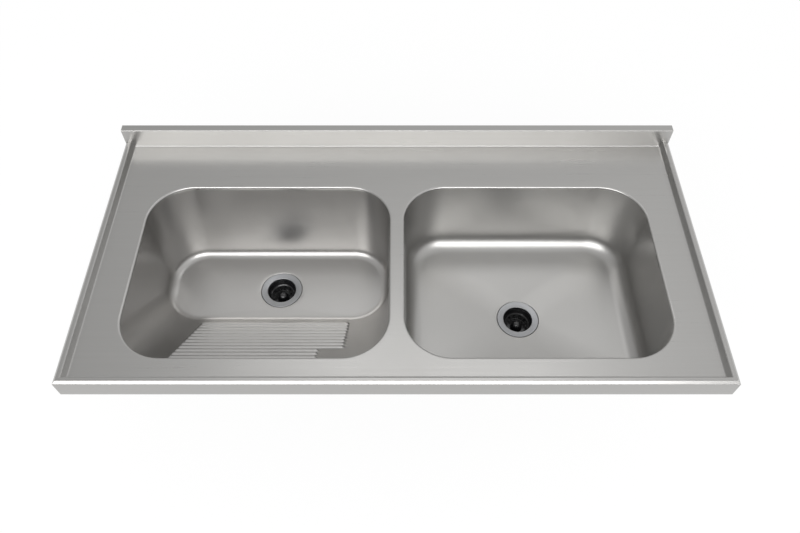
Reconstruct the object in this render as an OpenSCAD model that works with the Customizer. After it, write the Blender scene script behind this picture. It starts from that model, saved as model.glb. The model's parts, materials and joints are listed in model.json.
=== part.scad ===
// Double laundry sink top in sheet steel: a rimmed worktop with a low backsplash, a tub with a ribbed
// washboard front on the left, a plain rinse bowl on the right, and a basket waste in each.
// X runs along the width, Y from the front edge to the wall and Z up. The origin is the middle of the
// plane on which the top rests, on the underside of the rail between the bowls. Sizes are in millimetres.

/* [Worktop] */
// Overall width of the worktop
worktop_w = 1200; // [1150:5:1400]
// Overall depth from the front face to the wall
worktop_d = 602; // [590:1:680]
// Thickness of the worktop's sheet
sheet_t = 1; // [0.8:0.1:1.5]
// Height of the edge, from the seat plane to the top of the rim
edge_h = 46; // [38:1:60]
// Height of the raised rim above the deck
rim_h = 13; // [8:0.5:16]
// Width of the rim's flat top with its rounded nose
rim_top_w = 10; // [8:0.5:16]
// Outer radius of the rim's nose
nose_r = 4.5; // [2.5:0.5:6]
// Steepness of the rim's inner slope, in degrees
rim_slope_a = 63; // [45:1:80]
// Radius of the rim's shoulder and of its foot on the deck
rim_blend_r = 3; // [2:0.5:4]
// Width of the flange that turns in under the apron
hem_w = 12; // [6:1:16]
// Outer radius of the bend between apron and flange
hem_r = 2; // [1.6:0.1:4]

/* [Backsplash] */
// Height of the backsplash above the deck
splash_h = 47; // [35:1:120]
// Depth of the backsplash, front to back
splash_d = 18; // [12:1:25]
// Radius where the deck turns up into the backsplash
splash_foot_r = 2.5; // [2:0.1:8]
// Outer radius of the backsplash's top edges
splash_edge_r = 2; // [1.6:0.1:4]
// Length of the leg that turns down at the back
splash_leg_h = 25; // [10:1:30]

/* [Bowls] */
// Width of each bowl's opening
bowl_w = 500; // [440:5:505]
// Depth of each bowl's opening, front to back
bowl_d = 404; // [380:1:410]
// Width of the bridge between the two openings
bowl_gap = 30; // [28:1:60]
// Distance from the front face to the openings
bowl_front = 58; // [56:1:66]
// Corner radius of the openings
bowl_corner_r = 88; // [60:1:110]
// Thickness of the bowls' sheet
bowl_t = 1; // [0.8:0.1:1.5]
// Radius of the lip that rolls down into each bowl
lip_r = 4; // [2:0.5:6]
// Depth of the deck's collar, down to the weld with the bowl
collar_h = 8; // [7:0.5:14]
// Depth from the deck to the edge of each bowl's floor
floor_depth = 188; // [150:1:230]

/* [Rinse bowl] */
// Fall of the rinse bowl's floor from its edge to the drain
rinse_fall = 17; // [4:1:22]
// How far the rinse bowl's walls lean in over their height
rinse_lean = 5; // [2:0.5:12]
// Radius between the rinse bowl's walls and floor
rinse_fillet_r = 38; // [15:1:50]

/* [Washboard tub] */
// Width of the tub's floor
sump_w = 478; // [400:1:490]
// Depth of the tub's floor, front to back
sump_d = 182; // [165:1:220]
// Corner radius of the tub's floor
sump_corner_r = 75; // [50:1:80]
// Radius between the tub's walls and floor
sump_fillet_r = 12; // [6:1:20]
// How far the tub's floor lies right of the opening's centre
sump_shift = 7; // [0:1:9]
// Lean of the tub's back wall over its height
sump_back_lean = 32; // [10:1:45]
// Fall of the tub's floor from its edge to the drain
sump_fall = 4; // [3:1:17]
// How far the tub's drain sits in front of the middle of its floor
sump_drain_shift = 11; // [0:1:20]
// Number of washboard ribs
rib_count = 12; // [6:1:12]
// Distance from one rib to the next, down the slope
rib_pitch = 19.7; // [15:0.1:20]
// Radius of a rib's round back
rib_r = 7; // [5:0.5:8.5]
// Height of a rib above the slope
rib_h = 4; // [2:0.5:5]
// Distance from the top of the slope to the first rib
rib_first = 10; // [9:0.5:14]
// Number of ribs at the top that stop short on the right
rib_short_count = 3; // [0:1:5]
// How much shorter those ribs are
rib_short = 46; // [0:1:80]

/* [Waste] */
// Radius of the steel flange round each drain
flange_r = 45; // [42:0.5:47]
// Radius of the drain's mouth
mouth_r = 31; // [28:0.5:32]
// Sheet thickness of the steel flange
flange_t = 0.8; // [0.6:0.1:1]
// Dish of the flange towards the mouth, in degrees
flange_dish = 7; // [3:1:10]
// Depth of the pressed seat that the flange lies in
seat_depth = 4; // [3.5:0.1:5]
// Radius of the hole in each bowl's floor
floor_hole_r = 36; // [35.2:0.1:37]
// Outer radius of the cup's threaded part
cup_thread_r = 34.9; // [34.5:0.1:35]
// Inner radius of the cup round the basket
cup_bore_r = 27.4; // [26:0.1:28]
// Depth of the cup below the flange's seat
cup_depth = 42; // [38:1:55]
// Outer radius of the cup's outlet spigot
spigot_r = 23.6; // [22.5:0.1:24.5]
// Length of the outlet spigot
spigot_h = 20; // [16:1:30]
// Outer radius of the tailpiece's plain lower end
tail_r = 19.05; // [18.5:0.05:19.5]
// Wall of the tailpiece's tube
tail_wall = 1.75; // [1.2:0.05:2.2]
// Length of the tailpiece from the top of its flange
tail_h = 100; // [60:5:150]
// Length of the plain lower end that goes into the trap
tail_slip_h = 60; // [25:5:75]

/* [Basket] */
// Outer radius of the basket's wall
basket_r = 26.6; // [25:0.1:26.8]
// Wall of the basket
basket_wall = 1.8; // [1.2:0.1:2.2]
// Width of the sloping lip inside the basket's rim
rim_lip_w = 2.6; // [1.8:0.1:4]
// Depth of the basket below its rim
basket_h = 20; // [14:1:21]
// Radius of the basket's central knob
knob_r = 11; // [8:0.5:12]
// Number of drain holes in the basket's floor
basket_holes = 16; // [8:1:18]
// Radius of the rubber stopper under the basket
stopper_r = 19.8; // [16:0.1:20]

/* [Underframe] */
// Sheet thickness of the stiffening rails
rail_t = 1.2; // [1:0.1:1.5]
// Width of the front rail's crown
front_rail_w = 14; // [10:1:16]
// Width of the rear rail's crown
rear_rail_w = 40; // [20:1:44]
// Width of the side rails' crown
side_rail_w = 20; // [12:1:22]
// Width of the centre rail's crown
centre_rail_w = 10; // [8:1:10]
// Width of each welded flange on the outer rails
rail_flange = 7; // [5:0.5:8]
// Width of each welded flange on the centre rail
centre_flange = 5; // [4:0.5:5]
// Radius of the screw holes in the front and rear rails
screw_hole_r = 2.5; // [2:0.1:3]
// Distance from each end of the worktop to its screw holes
screw_inset = 60; // [50:1:100]
// Distance from the backsplash's face to the middle of the rear rail
rear_rail_inset = 62.5; // [60:0.5:70]

/* [Hidden] */
$fn = 96;

steel = [0.72, 0.72, 0.71];
zinc = [0.62, 0.64, 0.66];
black_plastic = [0.05, 0.05, 0.055];
grey_rubber = [0.25, 0.25, 0.26];
white_plastic = [0.86, 0.86, 0.84];

blend_fn = 64; // steps round the bowls' faceted corners
fillet_fn = 32; // steps round the bowls' faceted fillets
bend_steps = 6; // straight steps in each bend of the sheet
clear = 0.3; // gap between pieces that don't touch
thread_clear = 0.1; // radial gap between screwed pieces
overrun = 5; // how far cutting shapes reach past the sheet
side_lap = 1; // flat deck kept on edges and lips where they join the rest of the sheet
weld_lap = 2; // height the bowls are drawn past their weld before they are cut level

seat_gap = 0.4; // room round the flange in its pressed seat
rib_end_gap = 12; // from the ribs' ends to the round corners of the tub's floor

pad_w = 300;
pad_h = 90;
pad_t = 2.5;
pad_drop = 20;

rail_bend_r = 2;
rail_join = 1;

gasket_t = 1.2;
gasket_r = 42.5;
mouth_drop = 2.7; // from the rim of the seat down to the start of the flange's bend
mouth_bend_r = 1.8;
skirt_bend_r = 1.2;
flange_collar_h = 5.3;
cup_flange_r = 43;
cup_flange_drop = 1.75; // from the rim of the seat down to the cup's upper flange
cup_wall = 3.1;
cup_cone_h = 6;
thread_h = 30;
seat_cone_top = 6; // depths at which the cup's cone for the basket starts and ends
seat_cone_foot = 14;
outlet_wall = 4.4;
nut_h = 10;
nut_r = 43.5;
nut_lugs = 6;
nut_lug_r = 49;
nut_lug_w = 12;
washer_r = 43.5;
washer_t = 2;
slip_ring_t = 1;
tail_washer_t = 2;
tail_flange_t = 2;
tail_flange_r = 22.8;
tail_shoulder = 0.8; // step at which the trap's joint stops
coupling_wall = 4.5;
coupling_lip = 3;
coupling_grip = 16;
coupling_ribs = 12;
coupling_rib_r = 1.6;

rim_bead_r = 1.3;
rim_lip_a = 42; // slope of the lip inside the bead
bead_gap = 0.03; // between the basket's bead and the cone that it rests on
knob_h = 21.5; // from the basket's floor to the top of the knob
peg_r = 5.9;
peg_h = 5;
stopper_t = 2.5;
basket_hole_r = 1.6;

front_y = -worktop_d / 2;
back_y = worktop_d / 2;
deck_z = edge_h - rim_h;
rim_drop = rim_h - 2 * rim_blend_r * (1 - cos(rim_slope_a));
rim_run = rim_drop / sin(rim_slope_a);
rim_w = rim_top_w + 2 * rim_blend_r * sin(rim_slope_a) + rim_run * cos(rim_slope_a);
splash_face_y = back_y - splash_d;

bowl_y = front_y + bowl_front + bowl_d / 2;
wash_x = -(bowl_gap + bowl_w) / 2;
rinse_x = (bowl_gap + bowl_w) / 2;
weld_z = deck_z - collar_h;
floor_z = deck_z - floor_depth;
seat_r = flange_r + seat_gap;
sump_x = wash_x + sump_shift;
sump_y = bowl_y + bowl_d / 2 - sump_back_lean - sump_d / 2;
wash_drain = [sump_x, sump_y - sump_drain_shift, floor_z - sump_fall - seat_depth];
rinse_drain = [rinse_x, bowl_y, floor_z - rinse_fall - seat_depth];

function dir(angle) = [cos(angle), sin(angle)];
function reverse(list) = [for (i = [len(list) - 1 : -1 : 0]) list[i]];

// One face line of a bent strip. Each step is [straight length, bend to the right in degrees, bend radius]
// along the visible face, and inset shifts the line to the right of the way it runs.
function strip_line(steps, inset, at, heading, i = 0) =
  let (start = i == 0 ? [at + inset * dir(heading - 90)] : [])
  i == len(steps) ? start :
  let (
    turn = steps[i][1],
    radius = steps[i][2],
    side = turn < 0 ? 1 : -1,
    bend_at = at + steps[i][0] * dir(heading),
    centre = bend_at + radius * dir(heading + 90 * side),
    first = heading - 90 * side,
    bend = turn == 0
      ? [bend_at + inset * dir(heading - 90)]
      : [for (k = [0 : bend_steps]) centre + (radius + side * inset) * dir(first - turn * k / bend_steps)],
    next = turn == 0 ? bend_at : centre + radius * dir(first - turn)
  )
  concat(start, bend, strip_line(steps, inset, next, heading - turn, i + 1));

module bent_strip(steps, thickness, at, heading)
  polygon(concat(strip_line(steps, 0, at, heading), reverse(strip_line(steps, thickness, at, heading))));

// Sweeps a profile round a rectangle with rounded corners, with X of the profile running inwards
module swept_ring(width, depth, corner_r) {
  for (side = [0 : 3]) {
    run = side % 2 == 0 ? width - 2 * corner_r : depth - 2 * corner_r;
    reach = side % 2 == 0 ? depth / 2 : width / 2;
    rotate(side * 90) {
      translate([run / 2, -reach, 0]) rotate([90, 0, -90]) linear_extrude(run) mirror([1, 0]) children();
      translate([run / 2, -reach + corner_r, 0])
        rotate(-90) rotate_extrude(angle = 90) translate([corner_r, 0]) mirror([1, 0]) children();
    }
  }
}

module rounded_plate(width, depth, corner_r, height, steps = 96)
  linear_extrude(height) {
    square([width - 2 * corner_r, depth], center = true);
    square([width, depth - 2 * corner_r], center = true);
    for (x = [-1, 1], y = [-1, 1])
      translate([x * (width / 2 - corner_r), y * (depth / 2 - corner_r)]) circle(corner_r, $fn = steps);
  }

// Worktop: one sheet folded from the front flange over the rim and deck to the backsplash

rim_steps = [
  [hem_w - hem_r, 90, hem_r],
  [edge_h - hem_r - nose_r, 90, nose_r],
  [rim_top_w - nose_r, rim_slope_a, rim_blend_r],
  [rim_run, -rim_slope_a, rim_blend_r]
];
splash_steps = [
  [splash_h - splash_foot_r - splash_edge_r, 90, splash_edge_r],
  [splash_d - 2 * splash_edge_r, 90, splash_edge_r],
  [splash_leg_h - splash_edge_r, 0, 0]
];
deck_step = [worktop_d - rim_w - splash_d - splash_foot_r, -90, splash_foot_r];
fold_steps = concat(rim_steps, [deck_step], splash_steps);

// Stands a profile, drawn as depth and height, on the part and runs it along X
module along_x(length) translate([-length / 2, 0, 0]) rotate([90, 0, 90]) linear_extrude(length) children();

module deck_region() {
  inner_x = worktop_w / 2 - rim_w;
  translate([0, 0, -overrun]) linear_extrude(edge_h + splash_h + 2 * overrun)
    polygon([
      [-worktop_w / 2, front_y], [worktop_w / 2, front_y], [inner_x, front_y + rim_w],
      [inner_x, splash_face_y], [worktop_w / 2, splash_face_y], [worktop_w / 2, back_y],
      [-worktop_w / 2, back_y], [-worktop_w / 2, splash_face_y], [-inner_x, splash_face_y],
      [-inner_x, front_y + rim_w]
    ]);
}

// Edge of the right-hand side, cut at 45 degrees where it meets the front edge
module side_edge()
  intersection() {
    translate([worktop_w / 2, back_y, 0]) rotate([90, 0, 0]) linear_extrude(worktop_d)
      mirror([1, 0]) bent_strip(concat(rim_steps, [[side_lap, 0, 0]]), sheet_t, [hem_w, 0], 180);
    translate([0, 0, -overrun]) linear_extrude(edge_h + 2 * overrun)
      polygon([
        [worktop_w / 2, front_y], [worktop_w / 2, back_y], [worktop_w / 2 - rim_w - overrun, back_y],
        [worktop_w / 2 - rim_w - overrun, front_y + rim_w + overrun]
      ]);
  }

module splash_end()
  translate([worktop_w / 2 - sheet_t, 0, 0]) rotate([90, 0, 90]) linear_extrude(sheet_t)
    polygon(concat(
      [[back_y, deck_z], [splash_face_y, deck_z]],
      strip_line(splash_steps, 0, [splash_face_y, deck_z + splash_foot_r], 90)
    ));

module lip_ring()
  swept_ring(bowl_w, bowl_d, bowl_corner_r)
    bent_strip([[side_lap, 90, lip_r], [collar_h - lip_r, 0, 0]], sheet_t, [-lip_r - side_lap, deck_z], 0);

module worktop() color(steel) {
  difference() {
    intersection() {
      along_x(worktop_w) bent_strip(fold_steps, sheet_t, [front_y + hem_w, 0], 180);
      deck_region();
    }
    for (x = [wash_x, rinse_x])
      translate([x, bowl_y, deck_z - overrun])
        rounded_plate(bowl_w + 2 * lip_r, bowl_d + 2 * lip_r, bowl_corner_r + lip_r, 2 * overrun);
  }
  for (x = [wash_x, rinse_x]) translate([x, bowl_y, 0]) lip_ring();
  for (flip = [0, 1]) mirror([flip, 0, 0]) {
    side_edge();
    splash_end();
  }
}

// Bowls: pressed shells whose floors fall to a round seat for the waste

// Ring that gives a floor its corner and the fillet up to the wall
module floor_corner(corner_r, fillet_r)
  translate([0, 0, fillet_r])
    rotate_extrude($fn = blend_fn) translate([corner_r - fillet_r, 0]) circle(fillet_r, $fn = fillet_fn);

// Hollow of a bowl, grown by wall on every side, from its weld down to the rim of the waste
module bowl_space(x, floor_x, floor_y, width, depth, corner_r, fillet_r, drain, wall, above) {
  hull() {
    translate([x, bowl_y, weld_z])
      rounded_plate(bowl_w + 2 * wall, bowl_d + 2 * wall, bowl_corner_r + wall, above, blend_fn);
    for (i = [-1, 1], j = [-1, 1])
      translate([floor_x + i * (width / 2 - corner_r), floor_y + j * (depth / 2 - corner_r), floor_z - wall])
        floor_corner(corner_r + wall, fillet_r + wall);
    translate(drain + [0, 0, seat_depth - wall]) cylinder(r = seat_r + wall, h = bowl_t, $fn = blend_fn);
  }
  translate(drain - [0, 0, wall]) cylinder(r = seat_r + wall, h = seat_depth + bowl_t);
}

module wash_space(wall, above)
  bowl_space(wash_x, sump_x, sump_y, sump_w, sump_d, sump_corner_r, sump_fillet_r, wash_drain, wall, above);

module rinse_space(wall, above)
  bowl_space(rinse_x, rinse_x, bowl_y, bowl_w - 2 * rinse_lean, bowl_d - 2 * rinse_lean,
    bowl_corner_r - rinse_lean, rinse_fillet_r, rinse_drain, wall, above);

module floor_hole(drain) translate(drain - [0, 0, overrun]) cylinder(r = floor_hole_r, h = 2 * overrun);

// Washboard: the slope runs from the front of the opening down to the fillet of the tub's floor
slope_top_y = front_y + bowl_front;
slope_reach = [sump_y - sump_d / 2 + sump_fillet_r - slope_top_y, floor_z + sump_fillet_r - weld_z];
slope_a = atan2(-slope_reach[1], slope_reach[0]) + asin(sump_fillet_r / norm(slope_reach));
slope_run = norm(slope_reach);
rib_left = sump_x - sump_w / 2 + sump_corner_r + rib_end_gap;
rib_l = sump_w - 2 * (sump_corner_r + rib_end_gap);

module ribs(radius)
  for (i = [0 : rib_count - 1]) {
    length = i < rib_short_count ? rib_l - rib_short : rib_l;
    translate([rib_left, rib_first + i * rib_pitch, rib_h - rib_r]) {
      rotate([0, 90, 0]) cylinder(r = radius, h = length);
      sphere(radius);
      translate([length, 0, 0]) sphere(radius);
    }
  }

module on_slope() translate([0, slope_top_y, weld_z]) rotate([-slope_a, 0, 0]) children();

module wash_bowl() color(steel)
  difference() {
    union() {
      difference() {
        wash_space(bowl_t, weld_lap);
        wash_space(0, overrun);
      }
      on_slope() intersection() {
        ribs(rib_r);
        translate([wash_x - bowl_w / 2, 0, -bowl_t / 2]) cube([bowl_w, slope_run, rib_r]);
      }
    }
    on_slope() ribs(rib_r - bowl_t);
    floor_hole(wash_drain);
    translate([wash_x - bowl_w, bowl_y - bowl_d, weld_z]) cube([2 * bowl_w, 2 * bowl_d, overrun]);
  }

module rinse_bowl() color(steel)
  difference() {
    rinse_space(bowl_t, weld_lap);
    rinse_space(0, overrun);
    floor_hole(rinse_drain);
    translate([rinse_x - bowl_w, bowl_y - bowl_d, weld_z]) cube([2 * bowl_w, 2 * bowl_d, overrun]);
  }

// Sound pads: thick rubber sheets stuck to the outside of the bowls' back walls
// Each lies on a wall that leans in from the weld to where it meets the floor's fillet
module back_pad(x, foot_y, fillet_r) {
  wall_y = bowl_y + bowl_d / 2 + bowl_t;
  reach = [wall_y - (foot_y - fillet_r), weld_z - (floor_z + fillet_r)];
  lean = atan2(reach[0], reach[1]) - asin((fillet_r + bowl_t) / norm(reach));
  translate([x, wall_y, weld_z]) rotate([-lean, 0, 0])
    translate([-pad_w / 2, 0, -pad_drop - pad_h]) cube([pad_w, pad_t, pad_h]);
}

module wash_sound_pad() color(grey_rubber) back_pad(wash_x, sump_y + sump_d / 2, sump_fillet_r);
module rinse_sound_pad() color(grey_rubber)
  back_pad(rinse_x, bowl_y + bowl_d / 2 - rinse_lean, rinse_fillet_r);

// Underframe: hat-shaped rails welded under the deck, whose crowns lie in the seat plane

rail_h = deck_z - sheet_t;
front_rail_y = front_y + (rim_w + bowl_front - lip_r) / 2;
rear_rail_y = splash_face_y - rear_rail_inset;
side_rail_x = (worktop_w / 2 - rim_w + rinse_x + bowl_w / 2 + lip_r) / 2;
cross_rail_l = worktop_w - 2 * (rim_w + overrun);

function hat_half(crown, flange) = crown / 2 - rail_t + rail_bend_r + flange;

module hat_profile(crown, flange) {
  leg_run = rail_h - rail_t - 2 * rail_bend_r;
  steps = [
    [flange, 90, rail_bend_r],
    [leg_run, -90, rail_bend_r],
    [crown - 2 * (rail_t + rail_bend_r), -90, rail_bend_r],
    [leg_run, 90, rail_bend_r],
    [flange, 0, 0]
  ];
  bent_strip(steps, rail_t, [-hat_half(crown, flange), rail_h], 0);
}

module screw_holes(y)
  for (x = [-1, 1])
    translate([x * (worktop_w / 2 - screw_inset), y, -overrun]) cylinder(r = screw_hole_r, h = 2 * overrun);

module front_rail() color(zinc)
  difference() {
    translate([0, front_rail_y, 0]) along_x(cross_rail_l) hat_profile(front_rail_w, rail_flange);
    screw_holes(front_rail_y);
  }
module rear_rail() color(zinc)
  difference() {
    translate([0, rear_rail_y, 0]) along_x(cross_rail_l) hat_profile(rear_rail_w, rail_flange);
    screw_holes(rear_rail_y);
  }

// Rail that runs between the front and rear rails
module cross_rail(x, crown, flange) {
  from_y = front_rail_y + hat_half(front_rail_w, rail_flange) + rail_join;
  to_y = rear_rail_y - hat_half(rear_rail_w, rail_flange) - rail_join;
  translate([x, to_y, 0]) rotate([90, 0, 0]) linear_extrude(to_y - from_y) hat_profile(crown, flange);
}
module left_rail() color(zinc) cross_rail(-side_rail_x, side_rail_w, rail_flange);
module right_rail() color(zinc) cross_rail(side_rail_x, side_rail_w, rail_flange);
module centre_rail() color(zinc) cross_rail(0, centre_rail_w, centre_flange);

// Waste: heights are measured from the flange's seat in the bowl

cup_top_in = seat_depth - cup_flange_drop;
mouth_z = seat_depth - mouth_drop;
outlet_r = spigot_r - outlet_wall;
spigot_end = -cup_depth - spigot_h;
tail_top = spigot_end - tail_washer_t;

module flange_ring() {
  run = (flange_r - mouth_r - mouth_bend_r * (1 - sin(flange_dish)) - skirt_bend_r * (1 + sin(flange_dish)))
    / cos(flange_dish);
  skirt_top = mouth_z + run * sin(flange_dish) + (mouth_bend_r - skirt_bend_r) * cos(flange_dish);
  rotate_extrude()
    bent_strip([
      [flange_collar_h, 90 - flange_dish, mouth_bend_r],
      [run, 90 + flange_dish, skirt_bend_r],
      [skirt_top - clear, 0, 0]
    ], flange_t, [mouth_r, mouth_z - flange_collar_h], 90);
}

module cup() {
  collar_r = mouth_r + flange_t + thread_clear;
  collar_foot = mouth_z - flange_collar_h - clear;
  top_out = cup_top_in + (cup_flange_r - collar_r) * tan(flange_dish) - thread_clear;
  rotate_extrude() polygon([
    [collar_r, cup_top_in - mouth_bend_r / 2], [collar_r, collar_foot], [mouth_r, collar_foot],
    [mouth_r, -seat_cone_top], [cup_bore_r, -seat_cone_foot], [cup_bore_r, cup_cone_h - cup_depth],
    [outlet_r, -cup_depth], [outlet_r, spigot_end], [spigot_r, spigot_end], [spigot_r, -cup_depth - cup_wall],
    [cup_bore_r + cup_wall, cup_cone_h - cup_depth - cup_wall], [cup_bore_r + cup_wall, -thread_h],
    [cup_thread_r, -thread_h], [cup_thread_r, gasket_t], [cup_flange_r, gasket_t],
    [cup_flange_r, top_out], [collar_r + mouth_bend_r, cup_top_in]
  ]);
}

module washer(inner_r, outer_r, thickness, z)
  translate([0, 0, z]) difference() {
    cylinder(r = outer_r, h = thickness);
    translate([0, 0, -overrun]) cylinder(r = inner_r, h = thickness + 2 * overrun);
  }

module lock_nut() {
  top = -bowl_t - washer_t - slip_ring_t;
  difference() {
    translate([0, 0, top - nut_h]) {
      cylinder(r = nut_r, h = nut_h);
      for (i = [0 : nut_lugs - 1]) rotate(i * 360 / nut_lugs)
        translate([0, -nut_lug_w / 2, 0]) cube([nut_lug_r, nut_lug_w, nut_h]);
    }
    translate([0, 0, top - nut_h - overrun])
      cylinder(r = cup_thread_r + thread_clear, h = nut_h + 2 * overrun);
  }
}

module coupling_nut() {
  body_r = spigot_r + coupling_wall;
  nut_foot = tail_top - tail_flange_t - coupling_lip;
  difference() {
    translate([0, 0, nut_foot]) {
      cylinder(r = body_r, h = coupling_grip + coupling_lip + tail_flange_t + tail_washer_t);
      for (i = [0 : coupling_ribs - 1]) rotate(i * 360 / coupling_ribs)
        translate([body_r, 0, 0]) cylinder(r = coupling_rib_r, h = coupling_grip);
    }
    translate([0, 0, nut_foot + coupling_lip]) cylinder(r = spigot_r + thread_clear, h = coupling_grip * 2);
    translate([0, 0, nut_foot - overrun])
      cylinder(r = tail_r + tail_shoulder + clear, h = coupling_lip + 2 * overrun);
  }
}

module tailpiece()
  difference() {
    union() {
      translate([0, 0, tail_top - tail_flange_t]) cylinder(r = tail_flange_r, h = tail_flange_t);
      translate([0, 0, tail_top - tail_h + tail_slip_h])
        cylinder(r = tail_r + tail_shoulder, h = tail_h - tail_slip_h);
      translate([0, 0, tail_top - tail_h]) cylinder(r = tail_r, h = tail_h);
    }
    translate([0, 0, tail_top - tail_h - overrun]) cylinder(r = tail_r - tail_wall, h = tail_h + 2 * overrun);
  }

// Basket: hangs by its rim in the cup's cone and lifts out by its knob

// Height at which the bead rests on the cone, by its own radius and the cone's slope
cone_a = atan2(mouth_r - cup_bore_r, seat_cone_foot - seat_cone_top);
bead_ring_r = basket_r - rim_bead_r / 2;
bead_z = (bead_ring_r - cup_bore_r + (rim_bead_r + bead_gap) / cos(cone_a)) / tan(cone_a) - seat_cone_foot;
basket_foot = bead_z - basket_h;

// Half-section of the lip inside the bead: it slopes down towards the knob, then back to the wall
module basket_lip() {
  inner_r = bead_ring_r - rim_lip_w;
  top_z = bead_z + rim_bead_r;
  edge_z = top_z - rim_lip_w * tan(rim_lip_a);
  polygon([
    [bead_ring_r, top_z], [inner_r, edge_z], [basket_r - basket_wall, edge_z - rim_lip_w],
    [bead_ring_r, edge_z - rim_lip_w]
  ]);
}

module basket()
  difference() {
    union() {
      rotate_extrude() {
        translate([basket_r - basket_wall, basket_foot]) square([basket_wall, basket_h]);
        translate([bead_ring_r, bead_z]) circle(rim_bead_r, $fn = 32);
        basket_lip();
        translate([0, basket_foot - basket_wall]) square([basket_r, basket_wall]);
      }
      translate([0, 0, basket_foot]) cylinder(r = knob_r, h = knob_h - knob_r);
      translate([0, 0, basket_foot + knob_h - knob_r]) intersection() {
        sphere(knob_r);
        cylinder(r = knob_r, h = knob_r);
      }
      translate([0, 0, basket_foot - basket_wall - peg_h]) cylinder(r = peg_r, h = peg_h);
    }
    for (i = [0 : basket_holes - 1]) rotate((i + 0.5) * 360 / basket_holes)
      translate([(stopper_r + basket_r - basket_wall) / 2, 0, basket_foot - overrun])
        cylinder(r = basket_hole_r, h = 2 * overrun, $fn = 24);
  }

module stopper() washer(peg_r + thread_clear, stopper_r, stopper_t, basket_foot - basket_wall - stopper_t);

module at_wash_drain() translate(wash_drain) children();
module at_rinse_drain() translate(rinse_drain) children();

module top_gasket() washer(floor_hole_r + clear, gasket_r, gasket_t, 0);
module under_washer() washer(floor_hole_r, washer_r, washer_t, -bowl_t - washer_t);
module slip_ring() washer(floor_hole_r, washer_r, slip_ring_t, -bowl_t - washer_t - slip_ring_t);
module tail_washer() washer(tail_r - tail_wall, tail_flange_r, tail_washer_t, tail_top);

module wash_flange() color(steel) at_wash_drain() flange_ring();
module wash_cup() color(black_plastic) at_wash_drain() cup();
module wash_top_gasket() color(grey_rubber) at_wash_drain() top_gasket();
module wash_under_washer() color(grey_rubber) at_wash_drain() under_washer();
module wash_slip_ring() color(white_plastic) at_wash_drain() slip_ring();
module wash_lock_nut() color(white_plastic) at_wash_drain() lock_nut();
module wash_tail_washer() color(grey_rubber) at_wash_drain() tail_washer();
module wash_coupling_nut() color(white_plastic) at_wash_drain() coupling_nut();
module wash_tailpiece() color(white_plastic) at_wash_drain() tailpiece();
module wash_basket() color(black_plastic) at_wash_drain() basket();
module wash_stopper() color(grey_rubber) at_wash_drain() stopper();

module rinse_flange() color(steel) at_rinse_drain() flange_ring();
module rinse_cup() color(black_plastic) at_rinse_drain() cup();
module rinse_top_gasket() color(grey_rubber) at_rinse_drain() top_gasket();
module rinse_under_washer() color(grey_rubber) at_rinse_drain() under_washer();
module rinse_slip_ring() color(white_plastic) at_rinse_drain() slip_ring();
module rinse_lock_nut() color(white_plastic) at_rinse_drain() lock_nut();
module rinse_tail_washer() color(grey_rubber) at_rinse_drain() tail_washer();
module rinse_coupling_nut() color(white_plastic) at_rinse_drain() coupling_nut();
module rinse_tailpiece() color(white_plastic) at_rinse_drain() tailpiece();
module rinse_basket() color(black_plastic) at_rinse_drain() basket();
module rinse_stopper() color(grey_rubber) at_rinse_drain() stopper();

worktop();
wash_bowl();
rinse_bowl();
wash_sound_pad();
rinse_sound_pad();
front_rail();
rear_rail();
left_rail();
right_rail();
centre_rail();
wash_flange();
wash_cup();
wash_top_gasket();
wash_under_washer();
wash_slip_ring();
wash_lock_nut();
wash_tail_washer();
wash_coupling_nut();
wash_tailpiece();
wash_basket();
wash_stopper();
rinse_flange();
rinse_cup();
rinse_top_gasket();
rinse_under_washer();
rinse_slip_ring();
rinse_lock_nut();
rinse_tail_washer();
rinse_coupling_nut();
rinse_tailpiece();
rinse_basket();
rinse_stopper();
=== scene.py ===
import bpy, bmesh, json, math
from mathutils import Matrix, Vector

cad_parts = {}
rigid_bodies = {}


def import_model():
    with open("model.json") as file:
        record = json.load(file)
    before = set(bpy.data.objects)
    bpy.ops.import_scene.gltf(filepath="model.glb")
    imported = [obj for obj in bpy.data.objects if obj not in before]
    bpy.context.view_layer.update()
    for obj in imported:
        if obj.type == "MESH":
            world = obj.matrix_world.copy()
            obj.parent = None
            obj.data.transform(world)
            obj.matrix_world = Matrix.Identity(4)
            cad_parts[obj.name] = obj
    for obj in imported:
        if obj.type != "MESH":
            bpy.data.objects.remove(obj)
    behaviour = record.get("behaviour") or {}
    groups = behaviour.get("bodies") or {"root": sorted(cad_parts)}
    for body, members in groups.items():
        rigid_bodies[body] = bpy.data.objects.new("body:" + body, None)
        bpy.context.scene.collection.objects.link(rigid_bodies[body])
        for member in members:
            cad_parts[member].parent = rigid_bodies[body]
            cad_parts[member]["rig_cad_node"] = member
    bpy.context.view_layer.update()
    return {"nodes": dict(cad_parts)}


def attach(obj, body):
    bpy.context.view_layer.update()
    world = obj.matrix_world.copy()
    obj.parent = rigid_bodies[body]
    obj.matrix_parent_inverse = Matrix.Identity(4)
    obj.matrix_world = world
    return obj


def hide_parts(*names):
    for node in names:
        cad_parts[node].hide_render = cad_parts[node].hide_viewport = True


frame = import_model()
mm = 0.001
mergeGap = 0.002 * mm
creaseAngle = 35     # faces that meet at more degrees than this keep a sharp edge
bendSteps = 9        # straight pieces in each bend of a folded sheet


# meshes are drawn in millimetres and made in metres
def makeObject(name, verts, faces, grainPlaces=None):
    mesh = bpy.data.meshes.new(name)
    mesh.from_pydata([(x * mm, y * mm, z * mm) for x, y, z in verts], [], faces)
    if grainPlaces:
        layer = mesh.uv_layers.new(name="grainMap")
        for loop in mesh.loops:
            layer.data[loop.index].uv = grainPlaces[loop.vertex_index]
    obj = bpy.data.objects.new(name, mesh)
    bpy.context.scene.collection.objects.link(obj)
    cleanMesh(obj)
    return obj


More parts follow.
